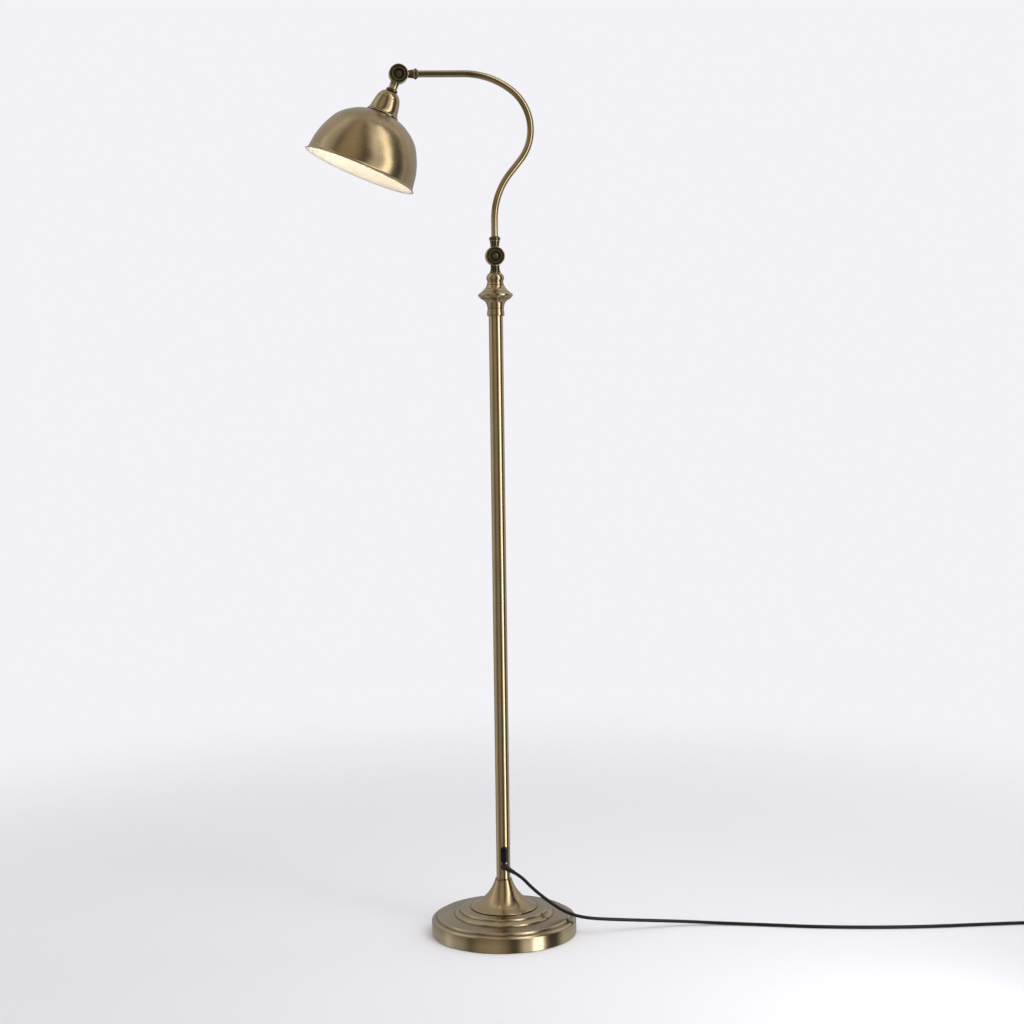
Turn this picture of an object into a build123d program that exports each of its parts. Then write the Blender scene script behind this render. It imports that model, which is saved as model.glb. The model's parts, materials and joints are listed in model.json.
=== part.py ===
from build123d import *
import os
from math import pi, radians, tan

# Pharmacy floor lamp. The pole stands on the origin, +Z is up, the arm bends in the XZ plane
# and carries its head towards -X. The switch faces -Y. Millimetres.

# ---- base ---------------------------------------------------------------------------------
PAD_RADIUS = 127.4
PAD_HEIGHT = 2.0
COVER_SKIN = 1.2
COVER_OUTLINE = [
    (130.0, 1.2), (130.0, 25.0), (127.0, 28.2), (121.0, 29.3), (118.0, 33.2), (89.0, 34.5),
    (87.2, 37.2), (84.0, 38.8), (79.0, 42.0), (77.0, 44.7), (57.0, 46.4), (40.0, 46.4),
]
COVER_ROUNDING = [2.4, 1.6, 1.4, 1.2, 1.2, 1.0, 2.0, 1.2, 1.2, 6.0]
COVER_TOP = 46.4
WEIGHT_RADIUS = 120.0
WEIGHT_HEIGHT = 14.0
WEIGHT_BOSS_RADIUS = 24.0
TRUMPET_SKIN = 1.6
TRUMPET_OUTLINE = [(58.2, 48.2), (43.6, 56.6), (30.4, 69.2), (22.2, 80.3), (17.3, 90.4), (15.2, 96.6)]
TRUMPET_FOOT_RADIUS = 59.0
COLLAR_RADIUS = 14.5
COLLAR_HEIGHT = 2.2

# ---- pole ---------------------------------------------------------------------------------
POLE_RADIUS = 12.5
POLE_WALL = 1.2
POLE_FOOT = TRUMPET_OUTLINE[-1][1] + COLLAR_HEIGHT
POLE_SEAM = 598.0
POLE_TOP = 1104.0
INSERT_FIT = 0.05
TIE_RADIUS = 5.0
CABLE_HOLE = 3.2
CABLE_RADIUS = 2.6
CABLE_TOP = 1136.0

# ---- switch and cord exit -------------------------------------------------------------------
SWITCH_HEIGHT = 143.4
BEZEL_WIDTH = 12.0
BEZEL_LENGTH = 29.4
BEZEL_CROWN = 14.2
SWITCH_BODY_WIDTH = 10.4
SWITCH_BODY_LENGTH = 27.0
SWITCH_BODY_BACK = -4.6
ROCKER_WIDTH = 8.2
ROCKER_LENGTH = 20.2
ROCKER_TILT = 6.0
ROCKER_PIVOT_Y = -9.0
RELIEF_ROOT_RADIUS = 4.5
RELIEF_TIP_RADIUS = 3.6
RELIEF_BEND = 7.0
RELIEF_FLANGE_RADIUS = 6.2
RELIEF_FLANGE_HEIGHT = 122.2
RELIEF_FLANGE_CROWN = 15.6
RELIEF_ROOT_Y = -9.0

# ---- knop at the pole's top -----------------------------------------------------------------
FERRULE_TOP = 1134.6
DISC_TOP = 1146.0
NECK_TOP = 1164.4
RING_TOP = 1178.6
KNOP_CAVITY = 9.0
SWIVEL_PIN_RADIUS = 5.05
SWIVEL_BORE_RADIUS = 5.1
RUNNING_GAP = 0.2
SWIVEL_NUT_TOP = 1151.4
STEM_RADIUS = 7.8

# ---- knuckles -------------------------------------------------------------------------------
LOWER_PIVOT = Vector(0, 0, 1208.6)
CHEEK_RADIUS = 17.0
CHEEK_OUTER = 8.2
CHEEK_GAP = 0.1
CHEEK_CLEARANCE = 17.5
BEAD_RADIUS = 10.7
RECESS_RADIUS = 9.6
RECESS_DEPTH = 3.0
SCREW_RADIUS = 2.5
SCREW_BORE_RADIUS = 2.55
NECK_LENGTH = 26.8

# ---- arm ------------------------------------------------------------------------------------
ARM_RADIUS = 6.0
ARM_WALL = 1.0
ARM_SOCKET = 17.8
FIRST_BEND_HEIGHT = 1271.7
LEAN_RADIUS = 127.5
LEAN_ANGLE = 39.2
SLOPE_LENGTH = 28.8
CROWN_RADIUS = 84.4
CROWN_ANGLE = 91.5
EASE_RADIUS = 133.0
EASE_ANGLE = 38.4
REACH_LENGTH = 95.7

# ---- head: heights are depths below its pivot along the head's own axis -----------------------
HEAD_ANGLE = 23.2
HEAD_NECK_RADIUS = 7.7
HEAD_NECK_END = 27.6
CUP_TOP = 34.0
CUP_SKIN = 1.0
CUP_SHOULDER = [(11.6, 34.0), (15.0, 36.4), (18.8, 41.6), (20.4, 46.0)]
CUP_SKIRT = [(20.9, 46.6), (23.0, 55.6), (24.9, 66.0), (26.6, 71.0), (28.4, 73.2), (28.4, 74.5)]
SHADE_SKIN = 1.0
LINING_SKIN = 0.4
SHADE_HOLE = 20.7
SHADE_OUTLINE = [
    (20.0, 72.9), (46.0, 82.2), (70.2, 100.4), (84.4, 124.0), (92.8, 148.0), (96.3, 170.0),
]
SHADE_LIP = [(96.9, 174.4), (98.2, 177.0), (100.5, 179.0)]
HOLDER_RADIUS = 18.4
HOLDER_TOP = 46.6
HOLDER_STEP = 64.0
SKIRT_RADIUS = 20.2
SKIRT_END = 100.0
NIPPLE_RADIUS = 5.0
BULB_TOP = 71.0
BULB_GLOBE_RADIUS = 22.5
BULB_END = 149.0

# ---- mains cord -----------------------------------------------------------------------------
CORD_DIAMETER = 6.0
CORD_ROUTE = [
    (16, -24, 114), (29, -27.1, 106.2), (46, -29.4, 87), (69, -33, 67), (94, -36.5, 48.5),
    (111, -39.5, 39.5), (126, -42, 34), (147, -42, 29), (175, -39, 24.6), (214, -34, 19.6),
    (268, -28, 13.4), (335, -25, 6.8), (402, -36, 3.2), (470, -57, 3.2), (546, -82, 3.2),
    (628, -101, 3.2), (706, -114, 3.2), (776, -121, 3.2), (846, -124, 3.2), (906, -128, 3.2),
    (956, -130.5, 3.2), (1004, -131, 3.2),
]
COIL_CENTRE = (1004.0, -94.0)
COIL_TURN_RADII = (31.0, 37.0)
COIL_LAYERS = 2
TAIL_ROUTE = [(1041, -94, 9.2), (1041, -80, 9.2), (1041.6, -64, 8.6), (1041, -50, 7.8)]
PLUG_BODY_LENGTH = 36.0
PLUG_WIDTH = 33.0
PLUG_THICKNESS = 15.0
PIN_LENGTH = 19.0
PIN_RADIUS = 2.0
PIN_SPACING = 18.6


def turned(*edges):
    """Solid of revolution about Z from closed edges drawn as (radius, height)."""
    outline = [edge for part in edges for edge in part.edges()]
    return revolve(Plane.XZ * make_face(outline), Axis.Z)


def turned_under(curve, bore=0.0):
    """Solid of revolution of all that lies between a curve and a bore round the axis."""
    start = curve @ 0
    end = curve @ 1
    rest = Polyline((end.X, end.Y), (bore, end.Y), (bore, start.Y), (start.X, start.Y))
    return turned(curve, rest)


def ring(outer, inner, bottom, top, rounding=0.0):
    """Plain ring about Z, its outer edges rounded."""
    body = cylinder(outer, bottom, top)
    if rounding:
        body = fillet(body.edges().filter_by(GeomType.CIRCLE), rounding)
    return body - cylinder(inner, bottom - 1, top + 1)


def cylinder(radius, bottom, top):
    """Cylinder about Z between two heights."""
    return Pos(0, 0, bottom) * Cylinder(radius, top - bottom, align=(Align.CENTER, Align.CENTER, Align.MIN))


def across(radius, front, back):
    """Cylinder along Y between two values of Y."""
    shape = Cylinder(radius, back - front, align=(Align.CENTER, Align.CENTER, Align.MIN))
    return Pos(0, front, 0) * Rot(-90, 0, 0) * shape


def hexagon(across_flats, bottom, top):
    """Hexagonal prism about Z."""
    prism = extrude(RegularPolygon(across_flats / 2, 6, major_radius=False), top - bottom)
    return Pos(0, 0, bottom) * prism


def inset(points, amount):
    """The same outline drawn in towards the axis."""
    return [(radius - amount, height) for radius, height in points]


def hanging(points, amount=0.0):
    """Outline given as depths below the head's pivot, drawn in and down by the same amount."""
    return [(radius - amount, -depth - amount) for radius, depth in points]


# ---- base -----------------------------------------------------------------------------------
def base_felt_pad():
    return cylinder(PAD_RADIUS, 0, PAD_HEIGHT)


def base_weight():
    disc = fillet(cylinder(WEIGHT_RADIUS, PAD_HEIGHT, PAD_HEIGHT + WEIGHT_HEIGHT).edges(), 2)
    boss = cylinder(WEIGHT_BOSS_RADIUS, PAD_HEIGHT + 4, COVER_TOP - COVER_SKIN)
    bolt_hole = cylinder(TIE_RADIUS + 0.5, 0, COVER_TOP)
    head_room = cylinder(14, 0, 13.2)
    return disc + boss - bolt_hole - head_room


def base_cover():
    outer = turned_under(FilletPolyline(*COVER_OUTLINE, radius=COVER_ROUNDING))
    within = turned_under(FilletPolyline(*inset(COVER_OUTLINE, COVER_SKIN), radius=COVER_ROUNDING))
    bolt_hole = cylinder(TIE_RADIUS + 0.5, 0, COVER_TOP + 1)
    return outer - Pos(0, 0, -COVER_SKIN) * within - bolt_hole


def base_trumpet():
    flare = Spline(*TRUMPET_OUTLINE)
    foot = cylinder(TRUMPET_FOOT_RADIUS, COVER_TOP, TRUMPET_OUTLINE[0][1])
    foot = fillet(foot.edges().group_by(Axis.Z)[-1], 0.7)
    within = turned_under(Spline(*inset(TRUMPET_OUTLINE, TRUMPET_SKIN)))
    hollow = Pos(0, 0, -TRUMPET_SKIN) * within
    foot_room = cylinder(TRUMPET_OUTLINE[0][0] - TRUMPET_SKIN, 0, COVER_TOP + 0.3)
    bolt_hole = cylinder(TIE_RADIUS + 0.5, 0, POLE_FOOT)
    return foot + turned_under(flare) - hollow - foot_room - bolt_hole


def base_collar():
    bottom = TRUMPET_OUTLINE[-1][1]
    return ring(COLLAR_RADIUS, TIE_RADIUS + 0.5, bottom, bottom + COLLAR_HEIGHT, 0.8)


def base_tie_sleeve():
    return ring(8.0, TIE_RADIUS + 0.5, COVER_TOP, TRUMPET_OUTLINE[-1][1] - TRUMPET_SKIN)


def base_tie_bolt():
    shank = cylinder(TIE_RADIUS, 10, POLE_FOOT + 18)
    return hexagon(17, 4.4, 10.8) + shank


def base_washer():
    return ring(12, TIE_RADIUS + 0.25, 10.8, 13.2)


# ---- pole -----------------------------------------------------------------------------------
def pole_tube(bottom, top):
    tube = chamfer(cylinder(POLE_RADIUS, bottom, top).edges(), 0.35)
    return tube - cylinder(POLE_RADIUS - POLE_WALL, bottom - 1, top + 1)


def switch_plan(width, length):
    """Upright rounded plan of a switch part, as a prism that runs from the front to the middle."""
    plan = RectangleRounded(width, length, width * 0.3)
    return Pos(0, 0, SWITCH_HEIGHT) * extrude(Plane.XZ * plan, 20)


def lower_pole_tube():
    slot = switch_plan(SWITCH_BODY_WIDTH + 0.2, SWITCH_BODY_LENGTH + 0.2)
    cord_hole = Pos(0, 0, RELIEF_HEIGHT) * across(RELIEF_ROOT_RADIUS + 0.1, -20, 0)
    return pole_tube(POLE_FOOT, POLE_SEAM) - slot - cord_hole


def upper_pole_tube():
    return pole_tube(POLE_SEAM, POLE_TOP)


def pole_foot_plug():
    plug = cylinder(POLE_RADIUS - POLE_WALL - INSERT_FIT, POLE_FOOT, POLE_FOOT + 13)
    return plug - cylinder(TIE_RADIUS + INSERT_FIT, 0, POLE_TOP)


def pole_coupler():
    outer = POLE_RADIUS - POLE_WALL - INSERT_FIT
    return ring(outer, outer - 2.5, POLE_SEAM - 25, POLE_SEAM + 25, 0.6)


def pole_top_plug():
    body = cylinder(POLE_RADIUS - POLE_WALL - INSERT_FIT, POLE_TOP - 22, POLE_TOP)
    stud = cylinder(TIE_RADIUS, POLE_TOP - 1, POLE_TOP + 15)
    return body + stud - cylinder(CABLE_HOLE, 0, POLE_TOP + 20)


# ---- switch and cord exit -------------------------------------------------------------------
def switch_housing():
    crown = cylinder(BEZEL_CROWN, 0, POLE_SEAM) - cylinder(POLE_RADIUS + INSERT_FIT, 0, POLE_SEAM)
    bezel = switch_plan(BEZEL_WIDTH, BEZEL_LENGTH) & crown
    inside = Pos(0, SWITCH_BODY_BACK, 0) * switch_plan(SWITCH_BODY_WIDTH, SWITCH_BODY_LENGTH)
    inside = inside & cylinder(POLE_RADIUS + 0.1, 0, POLE_SEAM)
    pocket = Pos(0, -BEZEL_CROWN, SWITCH_HEIGHT) * Box(
        ROCKER_WIDTH + 0.5, 2 * (BEZEL_CROWN + SWITCH_BODY_BACK - 1.5), ROCKER_LENGTH + 1.8
    )
    pivot = Pos(0, ROCKER_PIVOT_Y, SWITCH_HEIGHT) * Rot(0, 90, 0) * Cylinder(0.85, ROCKER_WIDTH + 1.2)
    terminals = Pos(0, SWITCH_BODY_BACK + 0.7, SWITCH_HEIGHT) * Box(0.8, 2.2, 4)
    upper_tab = Pos(0, 0, 7) * terminals
    lower_tab = Pos(0, 0, -7) * terminals
    return bezel + inside + upper_tab + lower_tab - pocket - pivot


def switch_rocker():
    half = ROCKER_LENGTH / 2
    dip = half * tan(radians(ROCKER_TILT))
    side = Polyline(
        (-7.4, -half + 0.4), (-14.3 - dip, -half), (-14.3, 0), (-14.3 - dip, half), (-7.4, half - 0.4),
        close=True,
    )
    paddle = Plane.YZ * make_face(side.edges())
    paddle = Pos(-ROCKER_WIDTH / 2, 0, 0) * extrude(paddle, ROCKER_WIDTH, dir=(1, 0, 0))
    paddle = fillet(paddle.edges().filter_by(Axis.X).group_by(Axis.Y)[0], 0.7)
    trunnions = Pos(0, ROCKER_PIVOT_Y, 0) * Rot(0, 90, 0) * Cylinder(0.8, ROCKER_WIDTH + 1.0)
    rocker = Pos(0, -ROCKER_PIVOT_Y, 0) * (paddle + trunnions)
    return Pos(0, ROCKER_PIVOT_Y, SWITCH_HEIGHT) * Rot(ROCKER_TILT, 0, 0) * rocker


def cord_exit():
    """Tip, direction and height of the strain relief, worked out from the cord's first run."""
    tip = Vector(*CORD_ROUTE[0])
    heading = (Vector(*CORD_ROUTE[1]) - tip).normalized()
    corner = tip - heading * (tip.X / heading.X)
    return tip, heading, corner


RELIEF_HEIGHT = cord_exit()[2].Z


def strain_relief():
    tip, heading, corner = cord_exit()
    outwards = Vector(0, -1, 0)
    setback = RELIEF_BEND * tan(radians(heading.get_angle(outwards) / 2))
    root = Vector(0, RELIEF_ROOT_Y, corner.Z)
    bend_start = corner - outwards * setback
    bend_end = corner + heading * setback
    bend = TangentArc(bend_start, bend_end, tangent=outwards)
    path = Wire((Line(root, bend_start) + bend).edges())
    elbow = sweep(Plane(root, z_dir=outwards) * Circle(RELIEF_ROOT_RADIUS), path=path)
    length = (tip - bend_end).length
    tail = Cone(RELIEF_ROOT_RADIUS, RELIEF_TIP_RADIUS, length, align=(Align.CENTER, Align.CENTER, Align.MIN))
    tail = Plane(bend_end, z_dir=heading) * tail
    flange = across(RELIEF_FLANGE_RADIUS, -RELIEF_FLANGE_CROWN, -POLE_RADIUS + 2.5)
    flange = fillet(flange.edges().filter_by(GeomType.CIRCLE).sort_by(Axis.Y)[0], 1.8)
    flange = Pos(0, 0, RELIEF_FLANGE_HEIGHT) * flange
    flange = flange - cylinder(POLE_RADIUS + INSERT_FIT, 0, POLE_SEAM)
    return elbow + tail + flange


def pole_cable():
    start = (0, RELIEF_ROOT_Y, RELIEF_HEIGHT)
    path = FilletPolyline(start, (0, 0, RELIEF_HEIGHT), (0, 0, CABLE_TOP), radius=7)
    return sweep(Plane(start, z_dir=(0, 1, 0)) * Circle(CABLE_RADIUS), path=path)


# ---- knop -----------------------------------------------------------------------------------
def knop_ferrule():
    bead = [(14.4, POLE_TOP), (15.3, 1106.4), (15.4, 1108.6), (14.9, 1112.4), (14.3, 1117.4)]
    flare = [(14.3, 1117.4), (15.4, 1123.0), (17.8, 1128.4), (21.7, 1131.8), (26.4, FERRULE_TOP)]
    body = turned_under(Spline(*bead) + Spline(*flare))
    stud_hole = cylinder(TIE_RADIUS + INSERT_FIT, POLE_TOP - 1, POLE_TOP + 16)
    return body - stud_hole - cylinder(KNOP_CAVITY, POLE_TOP + 16, FERRULE_TOP + 1)


def knop_disc():
    rim = [(25.7, FERRULE_TOP), (27.0, 1135.3), (30.6, 1139.6), (30.6, 1142.0), (25.4, DISC_TOP)]
    body = turned_under(FilletPolyline(*rim, radius=[0.4, 1.0, 1.0]))
    return body - cylinder(KNOP_CAVITY, FERRULE_TOP - 1, DISC_TOP + 1)


def knop_neck():
    slope = [(25.6, DISC_TOP), (20.2, 1150.6), (16.5, 1155.8), (14.7, 1160.4), (13.9, NECK_TOP)]
    body = turned_under(Spline(*slope))
    cavity = cylinder(KNOP_CAVITY, DISC_TOP - 1, SWIVEL_NUT_TOP + RUNNING_GAP)
    return body - cavity - cylinder(SWIVEL_BORE_RADIUS, DISC_TOP, NECK_TOP + 1)


def knop_ring():
    torus = [(13.7, NECK_TOP), (15.2, 1167.6), (15.7, 1170.6), (14.6, 1174.6), (12.6, 1177.2), (11.0, RING_TOP)]
    body = turned_under(Spline(*torus))
    return body - cylinder(SWIVEL_BORE_RADIUS, NECK_TOP - 1, RING_TOP + 1)


# ---- knuckles -------------------------------------------------------------------------------


def cheek(side):
    """One half of a knuckle, about the pivot: side is -1 for the front half and 1 for the back."""
    disc = across(CHEEK_RADIUS, CHEEK_GAP, CHEEK_OUTER)
    disc = fillet(disc.edges().filter_by(GeomType.CIRCLE).sort_by(Axis.Y)[-1], 1.6)
    dish = across(CHEEK_RADIUS - 3.4, CHEEK_OUTER - 0.9, CHEEK_OUTER + 1)
    bead = Pos(0, CHEEK_OUTER - 0.9, 0) * Rot(90, 0, 0) * Torus(BEAD_RADIUS, 1.1)
    bead = bead & across(CHEEK_RADIUS, CHEEK_OUTER - 2.0, CHEEK_OUTER + 2)
    recess = across(RECESS_RADIUS, CHEEK_OUTER - RECESS_DEPTH, CHEEK_OUTER + 2)
    half = disc - dish + bead - recess - across(SCREW_BORE_RADIUS, -1, CHEEK_OUTER)
    if side < 0:
        half = mirror(half, about=Plane.XZ)
    return half


def knuckle_half(side, neck):
    """Cheek and the neck that grows from it along +Z, cut clear of the other half's cheek."""
    sweep_room = across(CHEEK_CLEARANCE, -CHEEK_GAP, CHEEK_OUTER + 4)
    outside = across(CHEEK_RADIUS - 1.5, CHEEK_OUTER - RECESS_DEPTH, CHEEK_OUTER + 4)
    if side > 0:
        sweep_room = mirror(sweep_room, about=Plane.XZ)
    else:
        outside = mirror(outside, about=Plane.XZ)
    screw_hole = across(SCREW_BORE_RADIUS, -20, 20)
    return cheek(side) + (neck - sweep_room - outside) - screw_hole


def knuckle_screw():
    """Slotted screw of a knuckle, with its head in the front recess."""
    floor = -(CHEEK_OUTER - RECESS_DEPTH)
    head = across(4.4, floor - 2.2, floor)
    head = fillet(head.edges().filter_by(GeomType.CIRCLE).sort_by(Axis.Y)[0], 1.2)
    slot = Pos(0, floor - 2.2, 0) * Box(9, 1.8, 1.0)
    return head + across(SCREW_RADIUS, floor - 0.5, CHEEK_OUTER - 0.4) - slot


def knuckle_nut():
    """Washer and nut of a knuckle, in the back recess."""
    floor = CHEEK_OUTER - RECESS_DEPTH + 0.1
    nut = Rot(-90, 0, 0) * hexagon(8, floor + 0.6, floor + 2.6)
    washer = across(5.0, floor, floor + 0.6)
    return nut + washer - across(SCREW_RADIUS, -20, 20)


def swivel_stem():
    pivot = LOWER_PIVOT.Z
    foot = RING_TOP + RUNNING_GAP - pivot
    stem = [(10.8, foot), (9.6, foot + 1.8), (8.5, foot + 5.0), (STEM_RADIUS, foot + 10.0)]
    neck = turned_under(Spline(*stem)) + cylinder(STEM_RADIUS, foot + 10, 0)
    half = knuckle_half(-1, neck)
    pin = cylinder(SWIVEL_PIN_RADIUS, SWIVEL_NUT_TOP - 9 - pivot, foot + 1)
    cable_way = cylinder(CABLE_HOLE, SWIVEL_NUT_TOP - 20 - pivot, -12)
    return Pos(LOWER_PIVOT) * (half + pin - cable_way)


def swivel_nut():
    nut = hexagon(14, SWIVEL_NUT_TOP - 6, SWIVEL_NUT_TOP)
    return nut - cylinder(SWIVEL_PIN_RADIUS, 0, 2000)


# ---- arm ------------------------------------------------------------------------------------
def arm_path():
    """Centre line of the arm tube in the XZ plane, from the lower socket to the head's socket."""
    rise = Line((0, LOWER_PIVOT.Z + ARM_SOCKET), (0, FIRST_BEND_HEIGHT))
    lean = JernArc(rise @ 1, rise % 1, LEAN_RADIUS, -LEAN_ANGLE)
    slope = Line(lean @ 1, lean @ 1 + (lean % 1) * SLOPE_LENGTH)
    crown = JernArc(slope @ 1, slope % 1, CROWN_RADIUS, CROWN_ANGLE)
    ease = JernArc(crown @ 1, crown % 1, EASE_RADIUS, EASE_ANGLE)
    reach = Line(ease @ 1, ease @ 1 + (ease % 1) * REACH_LENGTH)
    return Plane.XZ * Wire((rise + lean + slope + crown + ease + reach).edges())


ARM_PATH = arm_path()
ARM_TIP = ARM_PATH @ 1
ARM_HEADING = ARM_PATH % 1
HEAD_PIVOT = ARM_TIP + ARM_HEADING * ARM_SOCKET
AT_LOWER_KNUCKLE = Pos(LOWER_PIVOT)
AT_ARM_TIP = Plane(HEAD_PIVOT, x_dir=Vector(0, 1, 0).cross(-ARM_HEADING), z_dir=-ARM_HEADING)
AT_HEAD = Pos(HEAD_PIVOT) * Rot(0, HEAD_ANGLE, 0)


def along_arm(radius):
    section = Plane(ARM_PATH @ 0, z_dir=ARM_PATH % 0) * Circle(radius)
    return sweep(section, path=ARM_PATH)


def arm_tube():
    return along_arm(ARM_RADIUS) - along_arm(ARM_RADIUS - ARM_WALL)


def arm_cable():
    return along_arm(2.2)


def arm_socket_bore():
    socket = cylinder(ARM_RADIUS + INSERT_FIT, ARM_SOCKET, NECK_LENGTH + 10)
    return socket + cylinder(CABLE_HOLE, 12, NECK_LENGTH)


def arm_lower_knuckle():
    neck = turned_under(Spline((7.7, 0), (7.7, 18), (8.0, 22.4), (9.0, NECK_LENGTH)))
    half = knuckle_half(1, neck) - arm_socket_bore()
    return AT_LOWER_KNUCKLE * half


def arm_lower_collar():
    outline = FilletPolyline(
        (8.2, NECK_LENGTH), (9.7, 28.2), (9.9, 31.6), (8.4, 33.4), (7.0, 34.0), radius=[0.8, 0.8, 0.6]
    )
    return AT_LOWER_KNUCKLE * (turned_under(outline) - cylinder(ARM_RADIUS + INSERT_FIT, 0, 50))


def arm_tip_knuckle():
    neck = turned_under(Spline((6.6, 0), (6.6, 17), (7.2, 21.8), (8.1, NECK_LENGTH)))
    half = knuckle_half(1, neck) - arm_socket_bore()
    return AT_ARM_TIP * half


def arm_tip_collar():
    outline = FilletPolyline(
        (8.1, NECK_LENGTH), (9.5, 27.8), (9.3, 30.4), (7.2, 32.6), (6.9, 33.2), radius=[0.6, 0.6, 0.4]
    )
    return AT_ARM_TIP * (turned_under(outline) - cylinder(ARM_RADIUS + INSERT_FIT, 0, 50))


# ---- head -----------------------------------------------------------------------------------
def head_knuckle():
    neck = cylinder(HEAD_NECK_RADIUS, -HEAD_NECK_END, 0)
    bore = cylinder(NIPPLE_RADIUS + INSERT_FIT, -HEAD_NECK_END - 1, -18) + cylinder(CABLE_HOLE, -20, -12)
    return AT_HEAD * (knuckle_half(-1, neck) - bore)


def head_ring():
    outline = FilletPolyline(
        (8.0, -CUP_TOP), (10.2, -32.4), (10.4, -29.6), (8.4, -HEAD_NECK_END), radius=[0.8, 0.8]
    )
    return AT_HEAD * (turned_under(outline) - cylinder(NIPPLE_RADIUS + INSERT_FIT, -50, 0))


def cup_form(amount):
    """Solid of the cup's outer form, drawn in by a skin thickness."""
    shoulder = Spline(*hanging(CUP_SHOULDER, amount))
    step = Line(shoulder @ 1, hanging(CUP_SKIRT, amount)[0])
    skirt = Spline(*hanging(CUP_SKIRT[:-1], amount))
    rim = Line(skirt @ 1, hanging(CUP_SKIRT, amount)[-1])
    return turned_under(shoulder + step + skirt + rim)


def socket_cup():
    bottom = -CUP_SKIRT[-1][1]
    inner = cup_form(CUP_SKIN) + cylinder(CUP_SKIRT[-1][0] - CUP_SKIN, bottom - 2, bottom + 0.6)
    return AT_HEAD * (cup_form(0) - inner - cylinder(NIPPLE_RADIUS + INSERT_FIT, -50, 0))


def shade_form(amount):
    """Solid of the shade's outer form, drawn in by a skin thickness."""
    dome = Spline(*hanging(SHADE_OUTLINE, amount))
    lip = Spline(*hanging([SHADE_OUTLINE[-1]] + SHADE_LIP, amount))
    return turned_under(dome + lip)


def shade():
    hole = cylinder(SHADE_HOLE, -90, -60)
    return AT_HEAD * (shade_form(0) - shade_form(SHADE_SKIN) - hole)


def shade_lining():
    rim_plane = -SHADE_LIP[-1][1]
    inside = shade_form(SHADE_SKIN) - cylinder(150, rim_plane - 5, rim_plane)
    deeper = shade_form(SHADE_SKIN + LINING_SKIN)
    return AT_HEAD * (inside - deeper - cylinder(SHADE_HOLE, -90, -60))


def shade_ring():
    outer = ring(27.0, SKIRT_RADIUS + INSERT_FIT, -84.0, -76.9, 1.0)
    for index in range(12):
        notch = Rot(0, 0, index * 30) * Pos(27.6, 0, -80.4) * Cylinder(1.4, 9)
        outer = outer - notch
    return AT_HEAD * outer


def head_nipple():
    tube = cylinder(NIPPLE_RADIUS, -HOLDER_TOP - 4, -19)
    return AT_HEAD * (tube - cylinder(CABLE_HOLE, -60, 0))


def holder_cap():
    body = cylinder(HOLDER_RADIUS, -HOLDER_STEP, -HOLDER_TOP)
    body = fillet(body.edges().group_by(Axis.Z)[-1], 2.6)
    room = cylinder(HOLDER_RADIUS - 1.8, -HOLDER_STEP - 1, -HOLDER_TOP - 5)
    return AT_HEAD * (body - room - cylinder(NIPPLE_RADIUS + INSERT_FIT, -80, 0))


def holder_skirt():
    body = cylinder(SKIRT_RADIUS, -SKIRT_END, -HOLDER_STEP)
    body = chamfer(body.edges().group_by(Axis.Z)[0], 0.8)
    grooves = [ring(30, SKIRT_RADIUS - 0.5, -depth - 0.6, -depth) for depth in range(86, 98, 2)]
    for groove in grooves:
        body = body - groove
    return AT_HEAD * (body - cylinder(SKIRT_RADIUS - 2.2, -SKIRT_END - 1, -HOLDER_STEP + 1))


def holder_contact():
    disc = cylinder(HOLDER_RADIUS - 1.9, -HOLDER_STEP - 2, -HOLDER_STEP + 1)
    shell = ring(14.4, 13.8, -92, -HOLDER_STEP - 1)
    button = cylinder(3.0, -BULB_TOP + 0.1, -HOLDER_STEP)
    return AT_HEAD * (disc + shell + button - cylinder(1.2, -HOLDER_STEP - 1, 0))


def holder_nut():
    nut = hexagon(14, -HOLDER_TOP + 0.2, -HOLDER_TOP + 4.2)
    return AT_HEAD * (nut - cylinder(NIPPLE_RADIUS + INSERT_FIT, -80, 0))


def head_cable():
    return AT_HEAD * cylinder(2.2, -HOLDER_STEP + 3, -CHEEK_CLEARANCE)


def bulb_cap():
    shell = cylinder(13.2, -96, -BULB_TOP - 2.4)
    contact = Pos(0, 0, -BULB_TOP - 2.4) * Cone(11.0, 4.6, 2.4, align=(Align.CENTER, Align.CENTER, Align.MIN))
    grooves = [ring(20, 12.4, -depth - 1.2, -depth) for depth in (77, 80.6, 84.2, 87.8)]
    for groove in grooves:
        shell = shell - groove
    return AT_HEAD * (shell + contact)


def bulb_globe():
    centre = -BULB_END + BULB_GLOBE_RADIUS
    throat = Line((13.2, -96.0), (13.6, -98.0))
    shoulder = Spline((13.6, -98.0), (16.4, -106.0), (BULB_GLOBE_RADIUS, centre), tangents=[(0.1, -1), (0, -1)])
    tip = RadiusArc((BULB_GLOBE_RADIUS, centre), (0, -BULB_END), BULB_GLOBE_RADIUS)
    axis = Polyline((0, -BULB_END), (0, -96.0), (13.2, -96.0))
    return AT_HEAD * turned(throat, shoulder, tip, axis)


# ---- mains cord -----------------------------------------------------------------------------
def corner_radii(points):
    """Largest arc that each corner's two runs allow: 0.45 of the shorter over tan(half turn)."""
    radii = []
    for before, corner, after in zip(points, points[1:], points[2:]):
        into = Vector(*corner) - Vector(*before)
        out = Vector(*after) - Vector(*corner)
        shorter = min(into.length, out.length)
        radii.append(0.45 * shorter / tan(radians(into.get_angle(out) / 2)))
    return radii


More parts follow.
